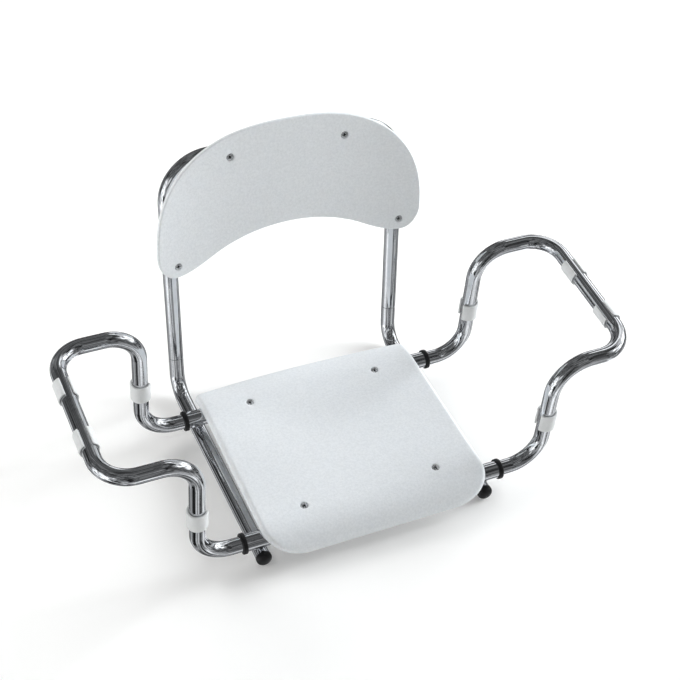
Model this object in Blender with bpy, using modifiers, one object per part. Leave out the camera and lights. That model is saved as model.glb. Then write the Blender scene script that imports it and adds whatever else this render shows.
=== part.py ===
"""Bath seat with a backrest, hung on the rims of a bath by two bent side arms.

Metres, +Z up. The sitter faces -Y and +X is on the right of someone who looks at the front of the seat along +Y.
The origin is at the middle of the footprint, at the lowest point of the two lower tubes' end caps.
All driving dimensions below are in millimetres. They are measured from a point BOARD_TOP under the middle of the
seat board's top face, and world() moves them to the origin.
"""

import math

import bmesh
import bpy
from mathutils import Matrix, Vector

# ------------------------------------------------------------------ driving dimensions, mm
SEAT_HEIGHT = 56.0  # the measuring point above the lowest point
SHIFT_Y = -61.37  # centres the footprint front to back
GAP = 0.3  # kept between touching solids

TUBE_R = 11.0  # arms, lower tubes and back tube: 22 mm outside
TUBE_BORE = 9.9
CROSS_R = 12.5  # cross tubes: 25 mm outside
CROSS_BORE = 11.3
CROSS_Y = 121.25  # cross tubes' axes, in front of and behind the middle
CROSS_Z = -20.3
CROSS_HALF = 197.0
SIDES = 16  # sides of a small tube
CROSS_SIDES = 24

ARM_LEG_X = 261.2  # vertical legs
ARM_RAIL_X = 380.3  # front ends of the outer rails
ARM_RAIL_REAR_X = 382.0
ARM_TOP_Z = 177.0
ARM_FRONT_Z = {-1: 174.0, 1: 164.0}  # the front of each arm's top sits a little lower: left, right
ARM_END_X = 75.0  # inner ends, inside the cross tubes
ARM_BEND_LOW = 48.0
ARM_BEND_TOP = 48.0
ARM_BEND_RAIL = 44.0
ARM_FRONT_BENDS = {-1: (44.0, 48.0), 1: (49.0, 53.0)}  # rail and top bends of each arm's front: left, right
BEND_STEPS = 5

LOCK_X = 95.0  # screws that lock the arms, and their slots
LOCK_IN = 10.0
LOCK_OUT = 55.0
LOCK_R = 3.0

LOWER_X = 176.5  # rear ends of the lower tubes, and the legs of the back tube
LOWER_FRONT_X = 171.0  # the lower tubes run a little closer together towards the front
LOWER_Z = CROSS_Z - CROSS_R - TUBE_R - 1.0
LOWER_FRONT_Y = -133.0
LOWER_BEND = 34.0

BACK_Y = 218.5  # where the back's plane meets the height of the seat board
BACK_LEAN = math.radians(7.2)
SEAM_V = 16.0  # joint of the back tube and the lower tubes, along the leaning plane
SPIGOT_R = 9.4
SPIGOT_BORE = 8.3
SPIGOT_TOP_V = 70.0
BACK_TOP_V = 345.4
BACK_BEND = 65.0
BACK_STEPS = 9

BOARD_TOP = 3.0
BOARD_HALF = 171.0
BOARD_T = 10.5  # at the rims and over the cross tubes
BOARD_UNDER = BOARD_TOP - BOARD_T
BOARD_FLAT_FRONT = -110.0
BOARD_FLAT_REAR = 106.0
BOARD_FRONT_ARCS = ((70.0, 27.0), (42.0, 40.0))  # radius and length over the top of each bend, one after the other
BOARD_REAR_ARCS = ((150.0, 45.0), (14.0, 8.0))
BOARD_REAR_BOW = 5.6  # the middle of the rear edge stands out behind its corners
BOARD_CORNER_FRONT = 60.0
BOARD_CORNER_REAR = 9.0
BOARD_RIM = 7.0
POCKET_X = (-158.0, -81.5, -78.5, -1.5, 1.5, 78.5, 81.5, 158.0)  # pockets in the underside, with ribs between them
POCKET_Y = (-89.0, -1.5, 1.5, 89.0)
POCKET_DEPTH = 6.0
SEAT_SCREW_X = 101.0
SEAT_SCREW_Y = 105.0

PANEL_T = 5.5
PANEL_N = 17.8  # front face of the panel in front of the back tube's axis, at mid width
PANEL_CURL = 2.5e-6  # the panel's ends come forward by PANEL_CURL * |u|^3
PANEL_HALF = 202.3
PANEL_MID_V = 216.5  # height of the widest point
PANEL_TOP_V = 387.3
PANEL_POWER = 2.46
PANEL_HOLLOW_V = 222.3  # middle of the hollow lower edge
PANEL_HOLLOW_R = 251.8
PANEL_LOBE = (172.6, 175.5)  # lowest point of each rounded end
PANEL_JOIN_U = 116.0
UPPER_SCREW = (87.0, 345.4, math.radians(3.0))  # u, v on the tube, and the screw's tilt towards the middle
LOWER_SCREW = (176.5, 193.5, math.radians(8.0))

COLLAR_R = 14.9
COLLAR_LENGTH = 6.2
CAP_R = 11.2
PLUG_R = 9.1
PAD_R = 13.7  # on the rails
LEG_PAD_R = 14.6
PAD_BORE = 11.35
PAD_OPEN = math.radians(28)  # half of the opening
PAD_LENGTH = 31.0
LEG_PAD_LENGTH = 28.5
REAR_PAD_Z = 67.5
FRONT_PAD_Z = 63.0
LEG_PAD_TURN = math.radians(7)  # towards the rear
RAIL_PADS = {-1: ((46.5, -9), (-46.5, 4)), 1: ((41.5, -9), (-52.5, -30))}  # y, and degrees turned outwards
VENT_X = 311.0  # small hole under the front of each arm's top
VENT_R = 1.3

SCREW_R = 2.5
SCREW_HEAD_R = 5.6
NUT_R = 4.6

SCALE = 0.001


# ------------------------------------------------------------------ scene and materials
for old in list(bpy.data.objects):
    bpy.data.objects.remove(old, do_unlink=True)

parts = bpy.data.collections.new("bath_seat")
cutters = bpy.data.collections.new("cutters")
bpy.context.scene.collection.children.link(parts)
bpy.context.scene.collection.children.link(cutters)


def material(name, colour, roughness, metallic=0.0):
    made = bpy.data.materials.new(name)
    made.use_nodes = True
    shader = made.node_tree.nodes["Principled BSDF"]
    shader.inputs["Base Color"].default_value = (*colour, 1.0)
    shader.inputs["Roughness"].default_value = roughness
    shader.inputs["Metallic"].default_value = metallic
    made.diffuse_color = (*colour, 1.0)
    return made


CHROME = material("chrome", (0.74, 0.75, 0.77), 0.06, 1.0)
WHITE = material("white_plastic", (0.82, 0.84, 0.86), 0.45)
PAD_WHITE = material("pad_plastic", (0.85, 0.86, 0.86), 0.40)
BLACK = material("black_rubber", (0.012, 0.012, 0.013), 0.55)
STEEL = material("screw_steel", (0.55, 0.55, 0.56), 0.28, 1.0)


def world(x, y, z):
    """A point in the driving dimensions' millimetres, in metres from the origin."""
    return Vector((x, y + SHIFT_Y, z + SEAT_HEIGHT)) * SCALE


BACK_D = Vector((0, math.sin(BACK_LEAN), math.cos(BACK_LEAN)))  # up along the back
BACK_N = Vector((0, -math.cos(BACK_LEAN), math.sin(BACK_LEAN)))  # towards the sitter


def on_back(u, v, n):
    """A point in the back's leaning plane: u sideways, v up along it, n towards the sitter."""
    p = Vector((u, BACK_Y, 0)) + BACK_D * v + BACK_N * n
    return world(*p)


def axes(x, y, z, origin):
    """The matrix with these axes as columns."""
    m = Matrix((x.normalized(), y.normalized(), z.normalized())).transposed().to_4x4()
    m.translation = origin
    return m


# ------------------------------------------------------------------ modelling helpers
def new_object(name, data, matrix=None, cutter=False):
    made = bpy.data.objects.new(name, data)
    (cutters if cutter else parts).objects.link(made)
    if matrix is not None:
        made.matrix_world = matrix
    if cutter:
        made.hide_render = True
        made.display_type = "WIRE"
    return made


def baked(obj):
    """Replaces the object's mesh with its evaluated one, without its modifiers, facing out."""
    bpy.context.view_layer.update()
    graph = bpy.context.evaluated_depsgraph_get()
    mesh = bpy.data.meshes.new_from_object(obj.evaluated_get(graph))
    bm = bmesh.new()
    bm.from_mesh(mesh)
    bmesh.ops.remove_doubles(bm, verts=bm.verts, dist=2e-6)
    bmesh.ops.holes_fill(bm, edges=[e for e in bm.edges if e.is_boundary], sides=4)
    bmesh.ops.recalc_face_normals(bm, faces=bm.faces)
    bm.to_mesh(mesh)
    bm.free()
    mesh.name = obj.name
    if obj.type == "MESH":
        obj.modifiers.clear()
        obj.data = mesh
        return obj
    name, matrix, home = obj.name, obj.matrix_world.copy(), obj.users_collection[0]
    bpy.data.objects.remove(obj)
    return new_object(name, mesh, matrix, home is cutters)


def cut(obj, *others, operation="DIFFERENCE"):
    for other in others:
        modifier = obj.modifiers.new(other.name, "BOOLEAN")
        modifier.operation = operation
        modifier.object = other
    baked(obj)
    for other in others:
        bpy.data.objects.remove(other)
    return obj


def finish(obj, look, angle=35):
    mesh = obj.data
    mesh.materials.clear()
    mesh.materials.append(look)
    mesh.shade_smooth()
    mesh.set_sharp_from_angle(angle=math.radians(angle))
    return obj


def tube(name, points, radius, sides, factors=None, cutter=False):
    """A round bar along a line of points: a curve with a bevel and filled caps, made a mesh."""
    curve = bpy.data.curves.new(name, "CURVE")
    curve.dimensions = "3D"
    curve.bevel_depth = radius * SCALE
    curve.bevel_resolution = (sides - 4) // 2
    curve.use_fill_caps = True
    spline = curve.splines.new("POLY")
    spline.points.add(len(points) - 1)
    for i, point in enumerate(points):
        spline.points[i].co = (*point, 1.0)
        spline.points[i].radius = factors[i] if factors else 1.0
    return baked(new_object(name, curve, cutter=cutter))


def filleted(corners, radii, steps):
    """The corners joined by straight runs, each inner corner rounded by an arc of its radius (mm)."""
    line = [corners[0]]
    for i in range(1, len(corners) - 1):
        here = corners[i]
        back = (corners[i - 1] - here).normalized()
        on = (corners[i + 1] - here).normalized()
        half = back.angle(on) / 2
        reach = radii[i - 1] * SCALE / math.tan(half)
        centre = here + (back + on).normalized() * (radii[i - 1] * SCALE / math.sin(half))
        first = here + back * reach - centre
        last = here + on * reach - centre
        turn = math.pi - 2 * half
        for k in range(steps + 1):
            t = k / steps
            line.append(centre + (first * math.sin((1 - t) * turn) + last * math.sin(t * turn)) / math.sin(turn))
    line.append(corners[-1])
    return line


def stretched(line, amount):
    """The same line, made longer by this many millimetres at both ends."""
    line = [p.copy() for p in line]
    line[0] = line[0] + (line[0] - line[1]).normalized() * amount * SCALE
    line[-1] = line[-1] + (line[-1] - line[-2]).normalized() * amount * SCALE
    return line


def cylinder(name, start, end, radius, sides, radius_2=None, cutter=False, across=None):
    """A cylinder or cone between two points, from a primitive."""
    along = end - start
    bm = bmesh.new()
    bmesh.ops.create_cone(
        bm,
        cap_ends=True,
        segments=sides,
        radius1=radius * SCALE,
        radius2=(radius if radius_2 is None else radius_2) * SCALE,
        depth=along.length,
    )
    mesh = bpy.data.meshes.new(name)
    bm.to_mesh(mesh)
    bm.free()
    side = across or (Vector((0, 0, 1)) if abs(along.normalized().z) < 0.9 else Vector((1, 0, 0)))
    z = along.normalized()
    x = (side - z * side.dot(z)).normalized()
    return new_object(name, mesh, axes(x, z.cross(x), z, (start + end) / 2), cutter)


def turned(name, profile, sides, matrix, closed=False, cutter=False):
    """A profile of (radius, height) in mm, turned about Z with a Screw modifier and placed by the matrix."""
    mesh = bpy.data.meshes.new(name)
    bm = bmesh.new()
    verts = [bm.verts.new((r * SCALE, 0, h * SCALE)) for r, h in profile]
    for a, b in zip(verts, verts[1:] + ([verts[0]] if closed else [])):
        bm.edges.new((a, b))
    bm.to_mesh(mesh)
    bm.free()
    made = new_object(name, mesh, matrix, cutter)
    screw = made.modifiers.new("turn", "SCREW")
    screw.angle = 2 * math.pi
    screw.steps = sides
    screw.render_steps = sides
    screw.use_merge_vertices = True
    screw.merge_threshold = 0.00001
    return baked(made)


def plate(name, outline, low, high, matrix, cutter=False):
    """A flat outline (mm) from a filled 2D curve, extruded from low to high along the matrix's Z."""
    curve = bpy.data.curves.new(name, "CURVE")
    curve.dimensions = "2D"
    curve.fill_mode = "BOTH"
    curve.extrude = (high - low) / 2 * SCALE
    spline = curve.splines.new("POLY")
    spline.points.add(len(outline) - 1)
    for i, (x, y) in enumerate(outline):
        spline.points[i].co = (x * SCALE, y * SCALE, 0.0, 1.0)
    spline.use_cyclic_u = True
    return baked(new_object(name, curve, matrix @ Matrix.Translation((0, 0, (low + high) / 2 * SCALE)), cutter))


def copy_of(source, name, matrix):
    made = new_object(name, source.data, matrix)
    return made


def arc(cx, cy, r, start, end, steps):
    return [
        (cx + r * math.cos(start + (end - start) * k / steps), cy + r * math.sin(start + (end - start) * k / steps))
        for k in range(steps + 1)
    ]


def moulded(name, outline, thickness, round_front, round_back, cuts, shape, matrix):
    """A moulded plate: the outline (mm) is extruded, its rims are rounded, it is cut into strips and each point is
    moved by shape(x, y, depth), which returns the bent position. Depth 0 is the face towards the sitter."""
    bm = bmesh.new()
    face = bm.faces.new([bm.verts.new((x, y, 0)) for x, y in outline])
    if face.normal.z < 0:
        bmesh.ops.reverse_faces(bm, faces=[face])
    out = bmesh.ops.extrude_face_region(bm, geom=[face])
    new = [g for g in out["geom"] if isinstance(g, bmesh.types.BMVert)]
    bmesh.ops.translate(bm, verts=new, vec=(0, 0, -thickness))
    bmesh.ops.recalc_face_normals(bm, faces=bm.faces)
    for level, size, steps in ((0.0, round_front, 3), (-thickness, round_back, 1)):
        rim = [e for e in bm.edges if all(abs(v.co.z - level) < 1e-6 for v in e.verts)]
        bmesh.ops.bevel(bm, geom=rim, offset=size, offset_type="OFFSET", segments=steps, profile=0.5, affect="EDGES")
    for point, normal in cuts:
        bmesh.ops.bisect_plane(
            bm, geom=bm.verts[:] + bm.edges[:] + bm.faces[:], dist=1e-5, plane_co=point, plane_no=normal
        )
    for v in bm.verts:
        v.co = Vector(shape(v.co.x, v.co.y, -v.co.z)) * SCALE
    mesh = bpy.data.meshes.new(name)
    bm.to_mesh(mesh)
    bm.free()
    return new_object(name, mesh, matrix)


# ------------------------------------------------------------------ cross tubes
def cross_tube(name, y):
    ends = [world(-CROSS_HALF, y, CROSS_Z), world(CROSS_HALF, y, CROSS_Z)]
    made = cylinder(name, *ends, CROSS_R, CROSS_SIDES)
    bore = cylinder(
        name + "_bore",
        world(-CROSS_HALF - 5, y, CROSS_Z),
        world(CROSS_HALF + 5, y, CROSS_Z),
        CROSS_BORE / math.cos(math.pi / SIDES),
        SIDES,
        cutter=True,
    )
    cut(made, bore)
    # A slot in the underside of each end, along which the arm's locking screw slides.
    for side in (-1, 1):
        r = LOCK_R + 0.6
        inner, outer = LOCK_X - LOCK_IN, LOCK_X + LOCK_OUT
        outline = arc(outer, 0, r, -math.pi / 2, math.pi / 2, 6) + arc(inner, 0, r, math.pi / 2, 3 * math.pi / 2, 6)
        outline = [(side * x, yy) for x, yy in outline]
        slot = plate(name + "_slot", outline, -16, -7, Matrix.Translation(world(0, y, CROSS_Z)), cutter=True)
        cut(made, slot)
    return finish(made, CHROME)


cross_tube("rear_cross_tube", CROSS_Y)
cross_tube("front_cross_tube", -CROSS_Y)

# Collars on the ends of the cross tubes: a ring with a lip that the arm runs through.
tight = 1 / math.cos(math.pi / SIDES)
collar_profile = [
    ((CROSS_R + GAP) * tight, 0.0),
    (COLLAR_R - 0.6, 0.0),
    (COLLAR_R, 0.8),
    (COLLAR_R, COLLAR_LENGTH - 1.0),
    (COLLAR_R - 0.8, COLLAR_LENGTH),
    (CROSS_BORE * tight, COLLAR_LENGTH),
    (CROSS_BORE * tight, COLLAR_LENGTH - 2.2),
    ((CROSS_R + GAP) * tight, COLLAR_LENGTH - 2.2),
]
collar = None
for side, side_name in ((-1, "left"), (1, "right")):
    for y, y_name in ((CROSS_Y, "rear"), (-CROSS_Y, "front")):
        start = world(side * (CROSS_HALF - COLLAR_LENGTH + 2.5), y, CROSS_Z)
        x = Vector((side, 0, 0))
        m = axes(Vector((0, 0, 1)), x.cross(Vector((0, 0, 1))), x, start)
        name = f"{side_name}_{y_name}_collar"
        if collar is None:
            collar = finish(turned(name, collar_profile, SIDES, m, closed=True), BLACK)
        else:
            copy_of(collar, name, m)

# ------------------------------------------------------------------ lower tubes, their caps and the welds
foot = Vector((0, BACK_Y, 0)) + BACK_D * (LOWER_Z / math.cos(BACK_LEAN))  # where the back's plane meets the lower tubes
for side, side_name in ((-1, "left"), (1, "right")):
    x = side * LOWER_X
    front_end = world(side * LOWER_FRONT_X, LOWER_FRONT_Y, LOWER_Z)
    bend = filleted([front_end, world(x, foot.y, LOWER_Z), on_back(x, SEAM_V - 1.8, 0)], [LOWER_BEND], 7)
    line = bend + [on_back(x, SEAM_V - 0.3, 0), on_back(x, SPIGOT_TOP_V - 2, 0), on_back(x, SPIGOT_TOP_V, 0)]
    thin = SPIGOT_R / TUBE_R
    factors = [1.0] * len(bend) + [thin, thin, thin - 0.08]
    made = tube(f"{side_name}_lower_tube", line, TUBE_R, SIDES, factors)
    bore_line = stretched(bend + [on_back(x, SEAM_V + 0.5, 0), on_back(x, SPIGOT_TOP_V, 0)], 3)
    thin_bore = SPIGOT_BORE / TUBE_BORE
    bore = tube(
        "bore", bore_line, TUBE_BORE, 12, [1.0] * (len(bend) - 1) + [0.97, thin_bore, thin_bore], cutter=True
    )
    finish(cut(made, bore), CHROME)

    # A domed cap in the front end, its plug inside the tube.
    out = (front_end - world(x, foot.y, LOWER_Z)).normalized()
    cap_matrix = axes(out.cross(Vector((0, 0, 1))), Vector((0, 0, 1)), out, front_end + out * GAP * SCALE)
    cap_profile = [(0, -11.0), (PLUG_R - 0.6, -11.0), (PLUG_R, -9.8), (PLUG_R, 0), (CAP_R - 0.3, 0), (CAP_R, 0.4), (CAP_R, 4.0)]
    cap_profile += [(CAP_R * math.cos(t), 4.0 + 7.0 * math.sin(t)) for t in (0.35, 0.7, 1.05, 1.35)] + [(0, 11.0)]
    finish(turned(f"{side_name}_tube_cap", cap_profile, SIDES, cap_matrix), BLACK, 50)

    # A weld bead fills the crevice where each cross tube lies on the lower tube.
    for y, y_name in ((CROSS_Y, "rear"), (-CROSS_Y, "front")):
        middle = LOWER_Z + TUBE_R + 0.5
        x = side * (LOWER_FRONT_X + (LOWER_X - LOWER_FRONT_X) * (y - LOWER_FRONT_Y) / (foot.y - LOWER_FRONT_Y))
        bead = cylinder(f"{side_name}_{y_name}_weld", world(x, y, middle - 3.2), world(x, y, middle + 3.2), 6.0, 16)
        over = cylinder(
            "over", world(x - 20, y, CROSS_Z), world(x + 20, y, CROSS_Z), CROSS_R + 0.28, CROSS_SIDES, cutter=True
        )
        under = cylinder(
            "under", world(x, y - 20, LOWER_Z), world(x, y + 20, LOWER_Z), TUBE_R + 0.28, 24, cutter=True
        )
        finish(cut(bead, over, under), CHROME)

# ------------------------------------------------------------------ seat board
BOARD_S_FRONT = BOARD_FLAT_FRONT - sum(length for _, length in BOARD_FRONT_ARCS)
BOARD_S_REAR = BOARD_FLAT_REAR + sum(length for _, length in BOARD_REAR_ARCS)


def along_arcs(arcs, distance):
    """How far out, how far down and at what angle a line ends that runs this distance over the bends."""
    out = down = angle = 0.0
    for radius, length in arcs:
        step = min(distance, length)
        turn = step / radius
        out += radius * (math.sin(angle + turn) - math.sin(angle))
        down += radius * (math.cos(angle) - math.cos(angle + turn))
        angle += turn
        distance -= step
        if distance <= 0:
            break
    return out, down, angle


def board_shape(x, s, depth):
    """Bends the front and rear edges of the board down. s is measured over the top face."""
    bow = BOARD_REAR_BOW * (1 - (x / 162.0) ** 2) * min(1.0, max(0.0, s / BOARD_FLAT_REAR))
    if s < BOARD_FLAT_FRONT:
        out, down, angle = along_arcs(BOARD_FRONT_ARCS, BOARD_FLAT_FRONT - s)
        return x, BOARD_FLAT_FRONT - out + depth * math.sin(angle), BOARD_TOP - down - depth * math.cos(angle)
    if s > BOARD_FLAT_REAR:
        out, down, angle = along_arcs(BOARD_REAR_ARCS, s - BOARD_FLAT_REAR)
        return x, BOARD_FLAT_REAR + bow + out - depth * math.sin(angle), BOARD_TOP - down - depth * math.cos(angle)
    return x, s + bow, BOARD_TOP - depth


a, rf, rr = BOARD_HALF, BOARD_CORNER_FRONT, BOARD_CORNER_REAR
board_outline = (
    arc(a - rr, BOARD_S_REAR - rr, rr, 0, math.pi / 2, 6)
    + arc(-a + rr, BOARD_S_REAR - rr, rr, math.pi / 2, math.pi, 6)
    + arc(-a + rf, BOARD_S_FRONT + rf, rf, math.pi, 3 * math.pi / 2, 10)
    + arc(a - rf, BOARD_S_FRONT + rf, rf, -math.pi / 2, 0, 10)
)
board_cuts = [BOARD_FLAT_FRONT - s for s in (0, 9, 18, 27, 33, 39, 45, 51, 57, 62)]
board_cuts += [BOARD_FLAT_REAR + s for s in (0, 22, 45, 48)]
board_cuts = [((0, s, 0), (0, 1, 0)) for s in board_cuts] + [((x, 0, 0), (1, 0, 0)) for x in (-125, -75, -25, 25, 75, 125)]


def board_body(name, thickness):
    return moulded(name, board_outline, thickness, BOARD_RIM, 1.5, board_cuts, board_shape, Matrix.Translation(world(0, 0, 0)))


board = board_body("seat_board", BOARD_T)
for y in (CROSS_Y, -CROSS_Y):  # the underside is hollowed a little where it lies on the cross tubes
    cut(board, cylinder("saddle", world(-200, y, CROSS_Z), world(200, y, CROSS_Z), (CROSS_R + GAP) * 1.01, CROSS_SIDES, cutter=True))
for x0, x1 in zip(POCKET_X[::2], POCKET_X[1::2]):
    for y0, y1 in zip(POCKET_Y[::2], POCKET_Y[1::2]):
        pocket = [(x0, y0), (x1, y0), (x1, y1), (x0, y1)]
        cut(board, plate("pocket", pocket, BOARD_UNDER - 5, BOARD_UNDER + POCKET_DEPTH, Matrix.Translation(world(0, 0, 0)), cutter=True))

# Countersunk holes, and the screws with their lugs and nuts. A lug is a steel tab welded to a cross tube, under the board.
def countersink(name, matrix, depth):
    """A cutter for a countersunk hole, its mouth at the matrix's origin and its axis along Z."""
    profile = [
        (0, 4.0),
        (SCREW_HEAD_R + GAP, 4.0),
        (SCREW_HEAD_R + GAP, -1.3),
        (SCREW_R + 0.4, -4.1),
        (SCREW_R + 0.4, -depth),
        (0, -depth),
    ]
    return turned(name, profile, 16, matrix, cutter=True)


def countersunk_screw(name, length, matrix, point_r=None):
    """A countersunk screw with a slightly domed head and a cross recess, its top 0.25 mm under the matrix's origin."""
    profile = [
        (0, -0.25),
        (SCREW_HEAD_R - 2.6, -0.4),
        (SCREW_HEAD_R - 0.9, -0.85),
        (SCREW_HEAD_R, -1.35),
        (SCREW_R, -3.9),
        (SCREW_R, -length + 0.6),
        (SCREW_R - 0.6, -length),
        (0, -length),
    ]
    made = turned(name, profile, 14, matrix)
    cross = []
    for k in range(4):  # four arms, narrower towards their ends
        for x, y in ((2.8, -0.55), (2.8, 0.55), (0.9, 0.9)):
            turn = math.pi / 2 * k
            cross.append((x * math.cos(turn) - y * math.sin(turn), x * math.sin(turn) + y * math.cos(turn)))
    return finish(cut(made, plate("cross", cross, -3.0, 1.0, matrix, cutter=True)), STEEL, 30)


def hex_nut(name, matrix, low, high, bore_r=SCREW_R + GAP):
    z = matrix.to_3x3() @ Vector((0, 0, 1))
    o = matrix.translation
    made = cylinder(name, o + z * low * SCALE, o + z * high * SCALE, NUT_R, 6, across=Vector((0, 1, 0)))
    bore = cylinder("bore", o + z * (low - 2) * SCALE, o + z * (high + 2) * SCALE, bore_r, 12, cutter=True)
    return finish(cut(made, bore), STEEL, 30)


seat_screw = None
for side, side_name in ((-1, "left"), (1, "right")):
    for end, end_name in ((1, "rear"), (-1, "front")):
        x, y = side * SEAT_SCREW_X, end * SEAT_SCREW_Y
        m = Matrix.Translation(world(x, y, BOARD_TOP))
        name = f"{side_name}_{end_name}_seat_screw"
        cut(board, countersink("countersink", m, 15))
        if seat_screw is None:
            seat_screw = countersunk_screw(name, 20.5, m)
        else:
            copy_of(seat_screw, name, m)
        # The lug starts at the cross tube's wall and reaches inwards under the board.
        inner = y - end * 12.0
        outer = end * (CROSS_Y - 2.0)
        outline = [(x - 14, inner), (x + 14, inner), (x + 14, outer), (x - 14, outer)]
        if end < 0:
            outline = outline[::-1]
        lug = plate(f"{side_name}_{end_name}_seat_lug", outline, BOARD_UNDER - GAP - 3.0, BOARD_UNDER, Matrix.Translation(world(0, 0, 0)))
        over = board_body("over", BOARD_T + GAP)
        over.hide_render = True
        tube_cut = cylinder(
            "tube_cut", world(x - 30, end * CROSS_Y, CROSS_Z), world(x + 30, end * CROSS_Y, CROSS_Z), CROSS_R + GAP, CROSS_SIDES, cutter=True
        )
        hole = cylinder("hole", world(x, y, -16), world(x, y, -2), SCREW_R + GAP, 12, cutter=True)
        finish(cut(lug, over, tube_cut, hole), STEEL, 30)
        hex_nut(f"{side_name}_{end_name}_seat_nut", m, -BOARD_T - GAP - 3.0 - GAP - 4.0, -BOARD_T - GAP - 3.0 - GAP)
finish(board, WHITE, 40)

# ------------------------------------------------------------------ side arms, their locking screws and rim pads
def pad(name, matrix, turn, radius, length):
    """A C-shaped snap-on pad. Its opening faces +X of the matrix, turned by an angle, and Z is along the tube."""
    steps = 14
    outer = arc(0, 0, radius, PAD_OPEN + 0.05, 2 * math.pi - PAD_OPEN - 0.05, steps)
    inner = arc(0, 0, PAD_BORE, 2 * math.pi - PAD_OPEN - 0.05, PAD_OPEN + 0.05, steps)
    middle = (radius + PAD_BORE) / 2
    lips = [(middle * math.cos(a), middle * math.sin(a)) for a in (-PAD_OPEN + 0.04, PAD_OPEN - 0.04)]
    outline = outer + lips[:1] + inner + lips[1:]
    matrix = matrix @ Matrix.Rotation(turn, 4, "Z")
    return finish(plate(name, outline, -length / 2, length / 2, matrix), PAD_WHITE, 30)


for side, side_name in ((-1, "left"), (1, "right")):
    # An empty on the arm's sliding axis carries everything that slides with it.
    slider = bpy.data.objects.new(f"{side_name}_arm_slide", None)
    slider.empty_display_size = 0.05
    slider.location = world(side * CROSS_HALF, 0, CROSS_Z)
    parts.objects.link(slider)

    leg, rail, front_z = side * ARM_LEG_X, side * ARM_RAIL_X, ARM_FRONT_Z[side]
    corners = [
        world(side * ARM_END_X, CROSS_Y, CROSS_Z),
        world(leg, CROSS_Y, CROSS_Z),
        world(leg, CROSS_Y, ARM_TOP_Z),
        world(side * ARM_RAIL_REAR_X, CROSS_Y, ARM_TOP_Z),
        world(rail, -CROSS_Y, front_z),
        world(leg, -CROSS_Y, front_z),
        world(leg, -CROSS_Y, CROSS_Z),
        world(side * ARM_END_X, -CROSS_Y, CROSS_Z),
    ]
    radii = [ARM_BEND_LOW, ARM_BEND_TOP, ARM_BEND_RAIL, *ARM_FRONT_BENDS[side], ARM_BEND_LOW]
    line = filleted(corners, radii, BEND_STEPS)
    arm = tube(f"{side_name}_arm_tube", line, TUBE_R, SIDES)
    cut(arm, tube("bore", stretched(filleted(corners, radii, 4), 5), TUBE_BORE - 0.2, 10, cutter=True))
    pieces = [arm]

    for y, y_name in ((CROSS_Y, "rear"), (-CROSS_Y, "front")):
        x = side * LOCK_X
        hole = cylinder("hole", world(x, y, CROSS_Z - 16), world(x, y, CROSS_Z - 3), 5.0, 12, cutter=True)
        cut(arm, hole)
        # A threaded insert in the arm's underside, and the screw that comes up through the cross tube's slot into it.
        insert = cylinder(f"{side_name}_{y_name}_lock_insert", world(x, y, CROSS_Z - 9.5), world(x, y, CROSS_Z - 1.5), 4.6, 12)
        thread = cylinder("thread", world(x, y, CROSS_Z - 14), world(x, y, CROSS_Z + 4), LOCK_R + GAP, 12, cutter=True)
        pieces.append(finish(cut(insert, thread), STEEL, 30))
        under = -CROSS_R - GAP
        profile = [
            (0, -3.0),
            (LOCK_R - 0.5, -3.0),
            (LOCK_R, -3.6),
            (LOCK_R, under),
            (5.6, under),
            (5.6, under - 1.2),
            (4.4, under - 2.8),
            (2.6, under - 3.3),
            (0, under - 3.3),
        ]
        m = Matrix.Translation(world(x, y, CROSS_Z))
        screw = turned(f"{side_name}_{y_name}_lock_screw", profile, 12, m)
        socket = cylinder("socket", world(x, y, CROSS_Z + under - 5), world(x, y, CROSS_Z + under - 1.2), 2.2, 6, cutter=True)
        pieces.append(finish(cut(screw, socket), STEEL, 30))

    vent = world(side * VENT_X, -CROSS_Y, front_z)
    cut(arm, cylinder("vent", vent + Vector((0, -0.5, -0.8)) * 0.016, vent + Vector((0, -0.5, -0.8)) * 0.008, VENT_R, 8, cutter=True))
    finish(arm, CHROME, 40)

    # Pads on the legs open towards the seat; pads on the outer rail open upwards.
    inwards = Vector((-side, 0, 0))
    up = Vector((0, 0, 1))
    for y, y_name, z in ((CROSS_Y, "rear", REAR_PAD_Z), (-CROSS_Y, "front", FRONT_PAD_Z)):
        m = axes(inwards, up.cross(inwards), up, world(leg, y, z))
        pieces.append(pad(f"{side_name}_{y_name}_leg_pad", m, -side * LEG_PAD_TURN, LEG_PAD_R, LEG_PAD_LENGTH))
    along = (corners[3] - corners[4]).normalized()
    for (y, degrees), y_name in zip(RAIL_PADS[side], ("rear", "front")):
        at = corners[4] + along * ((y + CROSS_Y) / along.y * SCALE)
        rise = (up - along * up.dot(along)).normalized()
        m = axes(rise, along.cross(rise), along, at)
        pieces.append(pad(f"{side_name}_{y_name}_rail_pad", m, side * math.radians(degrees), PAD_R, PAD_LENGTH))

    bpy.context.view_layer.update()
    for piece in pieces:
        keep = piece.matrix_world.copy()
        piece.parent = slider
        piece.matrix_parent_inverse = slider.matrix_world.inverted()
        piece.matrix_world = keep

# ------------------------------------------------------------------ back tube and backrest panel
lift = bpy.data.objects.new("backrest_lift", None)
lift.empty_display_size = 0.05
lift.matrix_world = axes(Vector((1, 0, 0)), BACK_D.cross(Vector((1, 0, 0))), BACK_D, on_back(0, SEAM_V, 0))
parts.objects.link(lift)
bpy.context.view_layer.update()

corners = [
    on_back(-LOWER_X, SEAM_V, 0),
    on_back(-LOWER_X, BACK_TOP_V, 0),
    on_back(LOWER_X, BACK_TOP_V, 0),
    on_back(LOWER_X, SEAM_V, 0),
]
back = tube("back_tube", filleted(corners, [BACK_BEND, BACK_BEND], BACK_STEPS), TUBE_R, SIDES)
cut(back, tube("bore", stretched(filleted(corners, [BACK_BEND, BACK_BEND], 6), 5), TUBE_BORE / math.cos(math.pi / 12), 12, cutter=True))


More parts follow.
